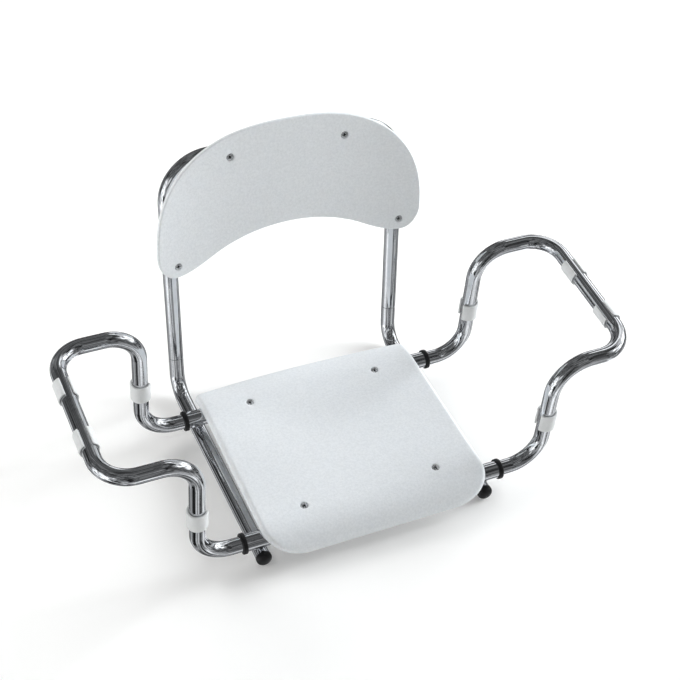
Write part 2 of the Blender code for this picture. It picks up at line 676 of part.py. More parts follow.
def panel_face(u):
    """Front face of the panel in front of the back tube's axis."""
    return PANEL_N + PANEL_CURL * abs(u) ** 3


def panel_shape(u, v, depth):
    slope = math.atan(3 * PANEL_CURL * u * abs(u))
    return u + depth * math.sin(slope), v, panel_face(u) - depth * math.cos(slope)


def panel_outline():
    """Right half from the top middle clockwise to the lower middle, then mirrored."""
    half = []
    height = PANEL_TOP_V - PANEL_MID_V
    for k in range(15):
        t = math.pi / 2 * k / 14
        half.append(
            (
                PANEL_HALF * math.sin(t) ** (2 / PANEL_POWER),
                PANEL_MID_V + height * math.cos(t) ** (2 / PANEL_POWER),
            )
        )
    lobe_u, lobe_v = PANEL_LOBE
    centre_v = PANEL_HOLLOW_V - PANEL_HOLLOW_R
    join_v = centre_v + math.sqrt(PANEL_HOLLOW_R**2 - PANEL_JOIN_U**2)
    for k in range(1, 8):  # round the end
        t = math.pi / 2 * k / 7
        half.append((lobe_u + (PANEL_HALF - lobe_u) * math.cos(t), PANEL_MID_V - (PANEL_MID_V - lobe_v) * math.sin(t)))
    slope = -PANEL_JOIN_U / math.sqrt(PANEL_HOLLOW_R**2 - PANEL_JOIN_U**2)
    reach = lobe_u - PANEL_JOIN_U
    for k in range(1, 4):  # a smooth run from the end into the hollow edge
        t = k / 4
        h00, h10 = 2 * t**3 - 3 * t**2 + 1, t**3 - 2 * t**2 + t
        h01, h11 = -2 * t**3 + 3 * t**2, t**3 - t**2
        half.append((lobe_u - reach * t, h00 * lobe_v + h01 * join_v + h11 * (-reach) * slope + h10 * 0))
    for k in range(9):
        u = PANEL_JOIN_U * (1 - k / 8)
        half.append((u, centre_v + math.sqrt(PANEL_HOLLOW_R**2 - u**2)))
    return half + [(-u, v) for u, v in reversed(half[1:-1])]


back_matrix = axes(Vector((1, 0, 0)), BACK_D, BACK_N, on_back(0, 0, 0))
panel = moulded(
    "backrest_panel",
    panel_outline(),
    PANEL_T,
    2.0,
    1.2,
    [((u, 0, 0), (1, 0, 0)) for u in range(-190, 191, 20)],
    panel_shape,
    back_matrix,
)


def screw_axis(u_tube, v, tilt, side):
    """The matrix of a back screw: it passes through the tube's axis at u_tube and meets the panel's front face."""
    direction = Vector((-side * math.sin(tilt), 0, math.cos(tilt)))
    reach = panel_face(u_tube)
    for _ in range(20):
        reach = panel_face(u_tube - math.sin(tilt) * reach) / math.cos(tilt)
    z = (back_matrix.to_3x3() @ direction).normalized()
    x = BACK_D.cross(z).normalized()
    return axes(x, z.cross(x), z, on_back(side * u_tube - side * math.sin(tilt) * reach, v, reach * math.cos(tilt))), reach


screws = []
for side, side_name in ((-1, "left"), (1, "right")):
    for (u, v, tilt), level in ((UPPER_SCREW, "upper"), (LOWER_SCREW, "lower")):
        m, reach = screw_axis(u, v, tilt, side)
        z = m.to_3x3() @ Vector((0, 0, 1))
        # A moulded boss behind the panel, with a hollow end that sits on the tube.
        boss = cylinder("boss", m.translation - z * (reach - 7.5) * SCALE, m.translation - z * 3.0 * SCALE, 9.0, 16, cutter=True)
        cut(panel, boss, operation="UNION")
        if level == "lower":
            a0, a1 = on_back(side * LOWER_X, v - 40, 0), on_back(side * LOWER_X, v + 40, 0)
        else:
            a0, a1 = on_back(side * (u - 20), BACK_TOP_V, 0), on_back(side * (u + 15), BACK_TOP_V, 0)
        saddle = cylinder("saddle", a0, a1, (TUBE_R + GAP) / math.cos(math.pi / 24), 24, cutter=True)
        cut(panel, saddle)
        cut(panel, countersink("countersink", m, 40))
        cut(back, cylinder("hole", m.translation - z * (reach + 16) * SCALE, m.translation - z * (reach - 16) * SCALE, SCREW_R + GAP, 12, cutter=True))
        name = f"{side_name}_{level}_back_screw"
        screws.append(countersunk_screw(name, reach + TUBE_R + 4.5, m))
        # A cap nut behind the tube: a hexagon with a dome over the screw's end.
        base = reach + TUBE_R + GAP
        nut = cylinder(f"{side_name}_{level}_cap_nut", m.translation - z * base * SCALE, m.translation - z * (base + 5.5) * SCALE, NUT_R, 6)
        flip = m @ Matrix.Translation((0, 0, -(base + 5.5) * SCALE)) @ Matrix.Rotation(math.pi, 4, "X")
        dome_profile = [(0, 3.9)] + [(3.9 * math.sin(t), 3.9 * math.cos(t)) for t in (0.55, 1.1)] + [(3.9, -1.0), (0, -1.0)]
        cut(nut, turned("dome", dome_profile, 12, flip, cutter=True), operation="UNION")
        bore = cylinder("bore", m.translation - z * (base - 3) * SCALE, m.translation - z * (base + 5.2) * SCALE, SCREW_R + GAP, 12, cutter=True)
        screws.append(finish(cut(nut, bore), STEEL, 30))
finish(panel, WHITE, 35)
finish(back, CHROME, 40)

bpy.context.view_layer.update()
for piece in [back, panel] + screws:
    keep = piece.matrix_world.copy()
    piece.parent = lift
    piece.matrix_parent_inverse = lift.matrix_world.inverted()
    piece.matrix_world = keep
bpy.context.view_layer.update()
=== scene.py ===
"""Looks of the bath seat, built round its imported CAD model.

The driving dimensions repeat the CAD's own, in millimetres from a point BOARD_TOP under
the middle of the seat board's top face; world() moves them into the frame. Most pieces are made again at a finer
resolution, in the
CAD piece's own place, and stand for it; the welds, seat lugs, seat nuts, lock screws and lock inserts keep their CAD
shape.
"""

import math

import bmesh
import bpy
from mathutils import Matrix, Vector

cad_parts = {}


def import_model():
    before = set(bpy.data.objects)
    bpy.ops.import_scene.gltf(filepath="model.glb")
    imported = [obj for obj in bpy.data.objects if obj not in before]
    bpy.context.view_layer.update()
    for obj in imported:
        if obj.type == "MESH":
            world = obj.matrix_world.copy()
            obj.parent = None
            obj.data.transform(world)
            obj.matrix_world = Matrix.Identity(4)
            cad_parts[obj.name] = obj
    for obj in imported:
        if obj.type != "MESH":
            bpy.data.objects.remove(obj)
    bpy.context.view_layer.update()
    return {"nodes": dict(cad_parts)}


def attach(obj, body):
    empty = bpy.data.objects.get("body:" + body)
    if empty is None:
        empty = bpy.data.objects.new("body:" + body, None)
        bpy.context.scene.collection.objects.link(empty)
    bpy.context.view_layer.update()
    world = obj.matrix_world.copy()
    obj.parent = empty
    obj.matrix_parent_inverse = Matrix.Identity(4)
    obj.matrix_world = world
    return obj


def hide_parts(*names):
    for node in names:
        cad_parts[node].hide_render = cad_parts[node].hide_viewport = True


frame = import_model()

# ------------------------------------------------------------------ driving dimensions, mm
SEAT_HEIGHT, SHIFT_Y, GAP = 56.0, -61.37, 0.3
TUBE_R, TUBE_BORE = 11.0, 9.9
CROSS_R, CROSS_BORE = 12.5, 11.3
CROSS_Y, CROSS_Z, CROSS_HALF = 121.25, -20.3, 197.0
ARM_LEG_X, ARM_RAIL_X, ARM_RAIL_REAR_X, ARM_TOP_Z = 261.2, 380.3, 382.0, 177.0
ARM_FRONT_Z = {-1: 174.0, 1: 164.0}
ARM_END_X = 75.0
ARM_BEND_LOW, ARM_BEND_TOP, ARM_BEND_RAIL = 48.0, 48.0, 44.0
ARM_FRONT_BENDS = {-1: (44.0, 48.0), 1: (49.0, 53.0)}
LOCK_X, LOCK_IN, LOCK_OUT, LOCK_R = 95.0, 10.0, 55.0, 3.0
LOWER_X, LOWER_FRONT_X = 176.5, 171.0
LOWER_Z = CROSS_Z - CROSS_R - TUBE_R - 1.0
LOWER_FRONT_Y, LOWER_BEND = -133.0, 34.0
BACK_Y, BACK_LEAN = 218.5, math.radians(7.2)
SEAM_V = 16.0
SPIGOT_R, SPIGOT_BORE, SPIGOT_TOP_V = 9.4, 8.3, 70.0
BACK_TOP_V, BACK_BEND = 345.4, 65.0
BOARD_TOP, BOARD_HALF, BOARD_T = 3.0, 171.0, 10.5
BOARD_UNDER = BOARD_TOP - BOARD_T
BOARD_FLAT_FRONT, BOARD_FLAT_REAR = -110.0, 106.0
BOARD_FRONT_ARCS = ((70.0, 27.0), (42.0, 40.0))
BOARD_REAR_ARCS = ((150.0, 45.0), (14.0, 8.0))
BOARD_REAR_BOW = 5.6
BOARD_CORNER_FRONT, BOARD_CORNER_REAR, BOARD_RIM = 60.0, 9.0, 7.0
POCKET_X = (-158.0, -81.5, -78.5, -1.5, 1.5, 78.5, 81.5, 158.0)
POCKET_Y = (-89.0, -1.5, 1.5, 89.0)
POCKET_DEPTH = 6.0
SEAT_SCREW_X, SEAT_SCREW_Y = 101.0, 105.0
PANEL_T, PANEL_N, PANEL_CURL = 5.5, 17.8, 2.5e-6
PANEL_HALF, PANEL_MID_V, PANEL_TOP_V, PANEL_POWER = 202.3, 216.5, 387.3, 2.46
PANEL_HOLLOW_V, PANEL_HOLLOW_R = 222.3, 251.8
PANEL_LOBE, PANEL_JOIN_U = (172.6, 175.5), 116.0
UPPER_SCREW = (87.0, 345.4, math.radians(3.0))
LOWER_SCREW = (176.5, 193.5, math.radians(8.0))
COLLAR_R, COLLAR_LENGTH = 14.9, 6.2
CAP_R, PLUG_R = 11.2, 9.1
PAD_R, LEG_PAD_R, PAD_BORE, PAD_OPEN = 13.7, 14.6, 11.35, math.radians(28)
PAD_LENGTH, LEG_PAD_LENGTH = 31.0, 28.5
REAR_PAD_Z, FRONT_PAD_Z = 67.5, 63.0
LEG_PAD_TURN = math.radians(7)
RAIL_PADS = {-1: ((46.5, -9), (-46.5, 4)), 1: ((41.5, -9), (-52.5, -30))}
VENT_X, VENT_R = 311.0, 1.3
SCREW_R, SCREW_HEAD_R, NUT_R = 2.5, 5.6, 4.6
SCALE = 0.001

SIDES = 48  # round a tube
TURN_STEP = math.radians(4.5)  # along a tube's bends

LEFT, RIGHT = (-1, "left"), (1, "right")
REAR, FRONT = (1, "rear"), (-1, "front")


def world(x, y, z):
    return Vector((x, y + SHIFT_Y, z + SEAT_HEIGHT)) * SCALE


BACK_D = Vector((0, math.sin(BACK_LEAN), math.cos(BACK_LEAN)))
BACK_N = Vector((0, -math.cos(BACK_LEAN), math.sin(BACK_LEAN)))


def on_back(u, v, n):
    return world(*(Vector((u, BACK_Y, 0)) + BACK_D * v + BACK_N * n))


def axes(x, y, z, origin):
    m = Matrix((x.normalized(), y.normalized(), z.normalized())).transposed().to_4x4()
    m.translation = origin
    return m


# ------------------------------------------------------------------ materials
def new_material(name):
    made = bpy.data.materials.new(name)
    made.use_nodes = True
    tree = made.node_tree
    return made, tree, tree.nodes["Principled BSDF"]


def add(tree, kind, **values):
    """A new node. A value of a socket is set by its name with _ for a space, or a property by its own name."""
    node = tree.nodes.new(kind)
    for key, value in values.items():
        if hasattr(node, key):
            setattr(node, key, value)
        else:
            node.inputs[key.replace("_", " ")].default_value = value
    return node


def object_noise(tree, scale, detail=3.0, roughness=0.5, distortion=0.0, stretch=None):
    place = add(tree, "ShaderNodeTexCoord")
    noise = add(tree, "ShaderNodeTexNoise", Scale=scale, Detail=detail, Roughness=roughness, Distortion=distortion)
    if stretch:
        mapping = add(tree, "ShaderNodeMapping", Scale=stretch)
        tree.links.new(place.outputs["Object"], mapping.inputs["Vector"])
        tree.links.new(mapping.outputs["Vector"], noise.inputs["Vector"])
    else:
        tree.links.new(place.outputs["Object"], noise.inputs["Vector"])
    return noise.outputs["Fac"]


def ranged(tree, source, low, high, start=0.0, end=1.0):
    node = add(tree, "ShaderNodeMapRange", From_Min=start, From_Max=end, To_Min=low, To_Max=high)
    tree.links.new(source, node.inputs["Value"])
    return node.outputs["Result"]


def blended(tree, source, first, second, start=0.0, end=1.0):
    ramp = add(tree, "ShaderNodeValToRGB")
    ramp.color_ramp.elements[0].position = start
    ramp.color_ramp.elements[0].color = (*first, 1)
    ramp.color_ramp.elements[1].position = end
    ramp.color_ramp.elements[1].color = (*second, 1)
    tree.links.new(source, ramp.inputs["Fac"])
    return ramp.outputs["Color"]


def bumped(tree, shader, heights):
    """Chains one Bump node for each (height, strength, distance in mm)."""
    last = None
    for height, strength, distance in heights:
        bump = add(tree, "ShaderNodeBump", Strength=strength, Distance=distance * SCALE)
        tree.links.new(height, bump.inputs["Height"])
        if last:
            tree.links.new(last, bump.inputs["Normal"])
        last = bump.outputs["Normal"]
    tree.links.new(last, shader.inputs["Normal"])


def chrome():
    """Polished plating over drawn tube: a faint waviness, and a film of wipe marks in its gloss."""
    made, tree, shader = new_material("chrome_plate")
    shader.inputs["Metallic"].default_value = 1.0
    smears = object_noise(tree, 42.0, 5.0, 0.6, 0.4)
    tree.links.new(ranged(tree, smears, 0.02, 0.07, 0.35, 0.75), shader.inputs["Roughness"])
    tree.links.new(blended(tree, smears, (0.66, 0.67, 0.69), (0.76, 0.77, 0.79), 0.3, 0.7), shader.inputs["Base Color"])
    waves = object_noise(tree, 60.0, 3.0, 0.55, 0.4)
    bumped(tree, shader, [(waves, 0.5, 0.25)])
    return made


def grained(name, dark, light, grain_mm, gloss, grain_depth):
    """Moulded plastic with a leather grain: small rounded cells with creases between them, and a broader unevenness."""
    made, tree, shader = new_material(name)
    place = add(tree, "ShaderNodeTexCoord")
    warp = add(tree, "ShaderNodeTexNoise", Scale=260.0, Detail=2.0)
    tree.links.new(place.outputs["Object"], warp.inputs["Vector"])
    shift = add(tree, "ShaderNodeMix", data_type="VECTOR")
    shift.inputs["Factor"].default_value = 0.0025
    tree.links.new(place.outputs["Object"], shift.inputs["A"])
    tree.links.new(warp.outputs["Color"], shift.inputs["B"])
    cells = add(tree, "ShaderNodeTexVoronoi", feature="SMOOTH_F1", Scale=1000.0 / grain_mm, Smoothness=0.35)
    tree.links.new(shift.outputs["Result"], cells.inputs["Vector"])
    height = ranged(tree, cells.outputs["Distance"], 1.0, 0.0, 0.15, 0.8)
    broad = object_noise(tree, 55.0, 3.0)
    fine = object_noise(tree, 900.0, 2.0)
    mottle = object_noise(tree, 300.0, 4.0, 0.65)
    tree.links.new(blended(tree, mottle, dark, light, 0.35, 0.65), shader.inputs["Base Color"])
    tree.links.new(ranged(tree, height, gloss + 0.14, gloss - 0.05), shader.inputs["Roughness"])
    shader.inputs["Subsurface Weight"].default_value = 0.12
    shader.inputs["Subsurface Radius"].default_value = (0.004, 0.0035, 0.003)
    shader.inputs["Subsurface Scale"].default_value = 1.0
    shader.inputs["IOR"].default_value = 1.49
    bumped(tree, shader, [(broad, 0.15, 0.25), (height, 0.8, grain_depth), (fine, 0.3, 0.03)])
    return made


def satin(name, dark, light, gloss):
    """Smooth moulded plastic with slight flow marks."""
    made, tree, shader = new_material(name)
    flow = object_noise(tree, 160.0, 4.0, 0.6, 0.8, (1, 1, 0.5))
    tree.links.new(blended(tree, flow, dark, light, 0.3, 0.7), shader.inputs["Base Color"])
    tree.links.new(ranged(tree, flow, gloss - 0.06, gloss + 0.10, 0.3, 0.7), shader.inputs["Roughness"])
    shader.inputs["Subsurface Weight"].default_value = 0.15
    shader.inputs["Subsurface Radius"].default_value = (0.003, 0.003, 0.003)
    shader.inputs["Subsurface Scale"].default_value = 1.0
    fine = object_noise(tree, 700.0, 2.0)
    bumped(tree, shader, [(flow, 0.2, 0.08), (fine, 0.3, 0.02)])
    return made


def rubber():
    made, tree, shader = new_material("black_plastic")
    dust = object_noise(tree, 240.0, 5.0, 0.7)
    tree.links.new(blended(tree, dust, (0.004, 0.004, 0.0045), (0.014, 0.014, 0.015), 0.4, 0.7), shader.inputs["Base Color"])
    tree.links.new(ranged(tree, dust, 0.36, 0.58, 0.3, 0.7), shader.inputs["Roughness"])
    fine = object_noise(tree, 1500.0, 2.0)
    bumped(tree, shader, [(dust, 0.25, 0.06), (fine, 0.4, 0.03)])
    return made


def steel(name, dark, light, low, high):
    """Plated steel with fine scratches. Painted shade darkens the bottom of a screw's recess: where the recess
    attribute is 1, the colour is near black.
    """
    made, tree, shader = new_material(name)
    shader.inputs["Metallic"].default_value = 0.75
    scratches = object_noise(tree, 1100.0, 3.0, 0.6, 0.5, (1, 0.15, 1))
    recess = add(tree, "ShaderNodeAttribute", attribute_name="recess")
    painted_recess_shade = add(tree, "ShaderNodeMix", data_type="RGBA")
    tree.links.new(recess.outputs["Fac"], painted_recess_shade.inputs["Factor"])
    colours = [socket for socket in painted_recess_shade.inputs if socket.type == "RGBA"]
    tree.links.new(blended(tree, scratches, dark, light, 0.3, 0.7), colours[0])
    # The painted shade for the bottom of a screw's recess: near black.
    colours[1].default_value = (0.012, 0.012, 0.013, 1)
    result = [socket for socket in painted_recess_shade.outputs if socket.type == "RGBA"][0]
    tree.links.new(result, shader.inputs["Base Color"])
    tree.links.new(ranged(tree, scratches, low, high, 0.3, 0.7), shader.inputs["Roughness"])
    bumped(tree, shader, [(scratches, 0.35, 0.02)])
    return made


CHROME = chrome()
SEAT_WHITE = grained("white_seat_plastic", (0.728, 0.752, 0.771), (0.808, 0.831, 0.849), 1.35, 0.46, 0.10)
PAD_WHITE = satin("white_pad_plastic", (0.65, 0.66, 0.66), (0.71, 0.72, 0.72), 0.36)
BLACK = rubber()
SCREW = steel("screw_steel", (0.46, 0.47, 0.48), (0.66, 0.67, 0.68), 0.20, 0.34)
LUG = steel("plated_steel", (0.42, 0.42, 0.43), (0.56, 0.56, 0.57), 0.26, 0.42)


# ------------------------------------------------------------------ modelling helpers
def new_object(name, mesh, matrix=None):
    made = bpy.data.objects.new(name, mesh)
    bpy.context.scene.collection.objects.link(made)
    if matrix is not None:
        made.matrix_world = matrix
    return made


def finished(made, node, body, look, angle=32):
    """Puts a finished mesh in the frame: its place goes into its vertices, and it stands for the CAD node."""
    bpy.context.view_layer.update()
    mesh = made.data
    mesh.transform(made.matrix_world)
    made.matrix_world = Matrix.Identity(4)
    mesh.materials.clear()
    mesh.materials.append(look)
    mesh.shade_smooth()
    mesh.set_sharp_from_angle(angle=math.radians(angle))
    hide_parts(node)
    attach(made, body)
    return made


def cut(made, *others, operation="DIFFERENCE"):
    """Applies Booleans with the other objects, which are removed."""
    for other in others:
        modifier = made.modifiers.new(other.name, "BOOLEAN")
        modifier.operation = operation
        modifier.solver = "EXACT"
        modifier.object = other
    bpy.context.view_layer.update()
    graph = bpy.context.evaluated_depsgraph_get()
    mesh = bpy.data.meshes.new_from_object(made.evaluated_get(graph))
    bm = bmesh.new()
    bm.from_mesh(mesh)
    bmesh.ops.remove_doubles(bm, verts=bm.verts, dist=2e-6)
    bmesh.ops.recalc_face_normals(bm, faces=bm.faces)
    bm.to_mesh(mesh)
    bm.free()
    made.modifiers.clear()
    made.data = mesh
    for other in others:
        bpy.data.objects.remove(other)
    return made


def route(corners, radii):
    """Points and directions along straight runs, each inner corner rounded by an arc of its radius (mm)."""
    ways = [(b - a).normalized() for a, b in zip(corners, corners[1:])]
    line = [(corners[0], ways[0])]
    for i in range(1, len(corners) - 1):
        here, way_in, way_out = corners[i], ways[i - 1], ways[i]
        turn = way_in.angle(way_out)
        reach = radii[i - 1] * SCALE * math.tan(turn / 2)
        side = (way_out - way_in * way_out.dot(way_in)).normalized()
        start = here - way_in * reach
        centre = start + side * radii[i - 1] * SCALE
        steps = max(2, math.ceil(turn / TURN_STEP))
        for k in range(steps + 1):
            t = turn * k / steps
            point = centre - side * radii[i - 1] * SCALE * math.cos(t) + way_in * radii[i - 1] * SCALE * math.sin(t)
            line.append((point, way_in * math.cos(t) + side * math.sin(t)))
    line.append((corners[-1], ways[-1]))
    return line


def ring(bm, point, way, side, radius, sides):
    up = way.cross(side)
    return [
        bm.verts.new(point + (side * math.cos(2 * math.pi * k / sides) + up * math.sin(2 * math.pi * k / sides)) * radius * SCALE)
        for k in range(sides)
    ]


def pipe(name, outer, inner, sides=SIDES):
    """A hollow tube. outer and inner are lists of (point, direction, radius in mm), both from the same end."""
    bm = bmesh.new()
    loops = []
    for line in (outer, inner):
        side = line[0][1].orthogonal().normalized()
        rings = []
        for point, way, radius in line:
            side = (side - way * side.dot(way)).normalized()
            rings.append(ring(bm, point, way, side, radius, sides))
        loops.append(rings)
    for rings in loops:
        for a, b in zip(rings, rings[1:]):
            for k in range(sides):
                bm.faces.new((a[k], a[(k + 1) % sides], b[(k + 1) % sides], b[k]))
    for end in (0, -1):
        a, b = loops[0][end], loops[1][end]
        for k in range(sides):
            bm.faces.new((a[k], a[(k + 1) % sides], b[(k + 1) % sides], b[k]))
    bmesh.ops.recalc_face_normals(bm, faces=bm.faces)
    mesh = bpy.data.meshes.new(name)
    bm.to_mesh(mesh)
    bm.free()
    return new_object(name, mesh)


def tube(name, line, radius, bore, sides=SIDES):
    """A tube of one radius along a route, its rims slightly rounded."""
    (p0, w0), (p1, w1) = line[0], line[-1]
    body = [(p0, w0, radius - 0.3), (p0 + w0 * 0.3 * SCALE, w0, radius)]
    body += [(p, w, radius) for p, w in line[1:-1]]
    body += [(p1 - w1 * 0.3 * SCALE, w1, radius), (p1, w1, radius - 0.3)]
    return pipe(name, body, [(p, w, bore) for p, w in line], sides)


def cylinder(name, start, end, radius, sides, radius_2=None, across=None):
    along = end - start
    bm = bmesh.new()
    bmesh.ops.create_cone(
        bm, cap_ends=True, segments=sides, radius1=radius * SCALE,
        radius2=(radius if radius_2 is None else radius_2) * SCALE, depth=along.length,
    )
    mesh = bpy.data.meshes.new(name)
    bm.to_mesh(mesh)
    bm.free()
    z = along.normalized()
    side = across or (Vector((0, 0, 1)) if abs(z.z) < 0.9 else Vector((1, 0, 0)))
    x = (side - z * side.dot(z)).normalized()
    return new_object(name, mesh, axes(x, z.cross(x), z, (start + end) / 2))


def turned(name, profile, sides, matrix, closed=False):
    """A profile of (radius, height) in mm, turned about the matrix's Z."""
    bm = bmesh.new()
    rows = []
    for r, h in profile:
        if r == 0:
            rows.append([bm.verts.new((0, 0, h * SCALE))])
        else:
            rows.append(
                [
                    bm.verts.new((r * SCALE * math.cos(2 * math.pi * k / sides), r * SCALE * math.sin(2 * math.pi * k / sides), h * SCALE))
                    for k in range(sides)
                ]
            )
    pairs = list(zip(rows, rows[1:])) + ([(rows[-1], rows[0])] if closed else [])
    for a, b in pairs:
        for k in range(sides):
            j = (k + 1) % sides
            corners = [a[k % len(a)], a[j % len(a)], b[j % len(b)], b[k % len(b)]]
            corners = [v for i, v in enumerate(corners) if v not in corners[:i]]
            if len(corners) > 2:
                bm.faces.new(corners)
    bmesh.ops.recalc_face_normals(bm, faces=bm.faces)
    mesh = bpy.data.meshes.new(name)
    bm.to_mesh(mesh)
    bm.free()
    return new_object(name, mesh, matrix)


def prism(name, outline, low, high, matrix, rounding=0.0, steps=3):
    """A flat outline (mm) extruded along the matrix's Z, its two rims rounded."""
    bm = bmesh.new()
    face = bm.faces.new([bm.verts.new((x, y, high)) for x, y in outline])
    if face.normal.z < 0:
        bmesh.ops.reverse_faces(bm, faces=[face])
    out = bmesh.ops.extrude_face_region(bm, geom=[face])
    bmesh.ops.translate(bm, verts=[g for g in out["geom"] if isinstance(g, bmesh.types.BMVert)], vec=(0, 0, low - high))
    bmesh.ops.recalc_face_normals(bm, faces=bm.faces)
    if rounding:
        rim = [e for e in bm.edges if abs(e.verts[0].co.z - e.verts[1].co.z) < 1e-6]
        bmesh.ops.bevel(bm, geom=rim, offset=rounding, offset_type="OFFSET", segments=steps, profile=0.5, affect="EDGES")
    bmesh.ops.scale(bm, vec=(SCALE,) * 3, verts=bm.verts)
    mesh = bpy.data.meshes.new(name)
    bm.to_mesh(mesh)
    bm.free()
    return new_object(name, mesh, matrix)


def arc(cx, cy, r, start, end, steps):
    return [
        (cx + r * math.cos(start + (end - start) * k / steps), cy + r * math.sin(start + (end - start) * k / steps))
        for k in range(steps + 1)
    ]


def moulded(name, outline, thickness, round_front, round_back, cuts, shape, matrix):
    """A moulded plate: an outline (mm) is extruded and its rims are rounded, then each point is moved by
    shape(x, y, depth). Depth 0 is the face towards the sitter."""
    bm = bmesh.new()
    face = bm.faces.new([bm.verts.new((x, y, 0)) for x, y in outline])
    if face.normal.z < 0:
        bmesh.ops.reverse_faces(bm, faces=[face])
    out = bmesh.ops.extrude_face_region(bm, geom=[face])
    bmesh.ops.translate(bm, verts=[g for g in out["geom"] if isinstance(g, bmesh.types.BMVert)], vec=(0, 0, -thickness))
    bmesh.ops.recalc_face_normals(bm, faces=bm.faces)
    for level, size, steps in ((0.0, round_front, 6), (-thickness, round_back, 3)):
        rim = [e for e in bm.edges if all(abs(v.co.z - level) < 1e-6 for v in e.verts)]
        bmesh.ops.bevel(bm, geom=rim, offset=size, offset_type="OFFSET", segments=steps, profile=0.5, affect="EDGES")
    for point, normal in cuts:
        bmesh.ops.bisect_plane(bm, geom=bm.verts[:] + bm.edges[:] + bm.faces[:], dist=1e-5, plane_co=point, plane_no=normal)
    for v in bm.verts:
        v.co = Vector(shape(v.co.x, v.co.y, -v.co.z)) * SCALE
    mesh = bpy.data.meshes.new(name)
    bm.to_mesh(mesh)
    bm.free()
    return new_object(name, mesh, matrix)


# ------------------------------------------------------------------ cross tubes and collars
def slot_cutter(y, side):
    r = LOCK_R + 0.6
    inner, outer = LOCK_X - LOCK_IN, LOCK_X + LOCK_OUT
    outline = arc(outer, 0, r, -math.pi / 2, math.pi / 2, 14) + arc(inner, 0, r, math.pi / 2, 3 * math.pi / 2, 14)
    return prism("slot", [(side * x, yy) for x, yy in outline], -16, -7, Matrix.Translation(world(0, y, CROSS_Z)))


for end, end_name in (REAR, FRONT):
    y = end * CROSS_Y
    made = tube(
        f"{end_name}_cross_tube_plated",
        [(world(-CROSS_HALF, y, CROSS_Z), Vector((1, 0, 0))), (world(CROSS_HALF, y, CROSS_Z), Vector((1, 0, 0)))],
        CROSS_R, CROSS_BORE, 64,
    )
    cut(made, slot_cutter(y, -1), slot_cutter(y, 1))
    finished(made, f"{end_name}_cross_tube", "seat_frame", CHROME)

collar_profile = [
    (CROSS_R + GAP, 0.0),
    (COLLAR_R - 0.7, 0.0),
    (COLLAR_R - 0.2, 0.2),
    (COLLAR_R, 0.7),
    (COLLAR_R, COLLAR_LENGTH - 1.4),
    (COLLAR_R - 0.2, COLLAR_LENGTH - 0.6),
    (COLLAR_R - 0.6, COLLAR_LENGTH - 0.15),
    (COLLAR_R - 1.1, COLLAR_LENGTH),
    (CROSS_BORE + 0.3, COLLAR_LENGTH),
    (CROSS_BORE, COLLAR_LENGTH - 0.3),
    (CROSS_BORE, COLLAR_LENGTH - 2.2),
    (CROSS_R + GAP, COLLAR_LENGTH - 2.2),
]
for side, side_name in (LEFT, RIGHT):
    for end, end_name in (REAR, FRONT):
        x = Vector((side, 0, 0))
        up = Vector((0, 0, 1))
        m = axes(up, x.cross(up), x, world(side * (CROSS_HALF - COLLAR_LENGTH + 2.5), end * CROSS_Y, CROSS_Z))
        name = f"{side_name}_{end_name}_collar"
        finished(turned(name + "_ring", collar_profile, 64, m, closed=True), name, "seat_frame", BLACK, 40)

# ------------------------------------------------------------------ lower tubes, caps and welds
foot = Vector((0, BACK_Y, 0)) + BACK_D * (LOWER_Z / math.cos(BACK_LEAN))
for side, side_name in (LEFT, RIGHT):
    x = side * LOWER_X
    seam = on_back(x, SEAM_V, 0)
    front_end = world(side * LOWER_FRONT_X, LOWER_FRONT_Y, LOWER_Z)
    bend = route([front_end, world(x, foot.y, LOWER_Z), seam], [LOWER_BEND])[:-1]
    outer = [(bend[0][0], bend[0][1], TUBE_R - 0.3)] + [(p, w, TUBE_R) for p, w in bend[1:]]
    for v, r in ((SEAM_V - 1.8, TUBE_R), (SEAM_V - 0.45, TUBE_R), (SEAM_V - 0.3, TUBE_R - 0.2), (SEAM_V - 0.3, SPIGOT_R),
                 (SPIGOT_TOP_V - 1.6, SPIGOT_R), (SPIGOT_TOP_V, SPIGOT_R - 0.7)):
        outer.append((on_back(x, v, 0), BACK_D, r))
    inner = [(p, w, TUBE_BORE) for p, w in bend]
    for v, r in ((SEAM_V - 4.0, TUBE_BORE), (SEAM_V - 0.5, SPIGOT_BORE), (SPIGOT_TOP_V, SPIGOT_BORE)):
        inner.append((on_back(x, v, 0), BACK_D, r))
    finished(pipe(f"{side_name}_lower_tube_plated", outer, inner), f"{side_name}_lower_tube", "seat_frame", CHROME)

    out = (front_end - world(x, foot.y, LOWER_Z)).normalized()
    m = axes(out.cross(Vector((0, 0, 1))), Vector((0, 0, 1)), out, front_end + out * GAP * SCALE)
    profile = [(0, -11.0), (PLUG_R - 0.6, -11.0), (PLUG_R, -9.8), (PLUG_R, 0), (CAP_R - 0.5, 0), (CAP_R - 0.15, 0.15), (CAP_R, 0.5)]
    for k in range(15):  # a full domed end
        t = math.pi / 2 * k / 14
        profile.append((CAP_R * math.cos(t) if k < 14 else 0.0, 4.0 + 7.0 * math.sin(t)))
    name = f"{side_name}_tube_cap"
    finished(turned(name + "_dome", profile, 64, m), name, "seat_frame", BLACK, 40)

# ------------------------------------------------------------------ seat board
BOARD_S_FRONT = BOARD_FLAT_FRONT - sum(length for _, length in BOARD_FRONT_ARCS)
BOARD_S_REAR = BOARD_FLAT_REAR + sum(length for _, length in BOARD_REAR_ARCS)


def along_arcs(arcs, distance):
    """How far out, how far down and at what angle a line ends that runs this distance over the bends."""
    out = down = angle = 0.0
    for radius, length in arcs:
        step = min(distance, length)
        turn = step / radius
        out += radius * (math.sin(angle + turn) - math.sin(angle))
        down += radius * (math.cos(angle) - math.cos(angle + turn))
        angle += turn
        distance -= step
        if distance <= 0:
            break
    return out, down, angle


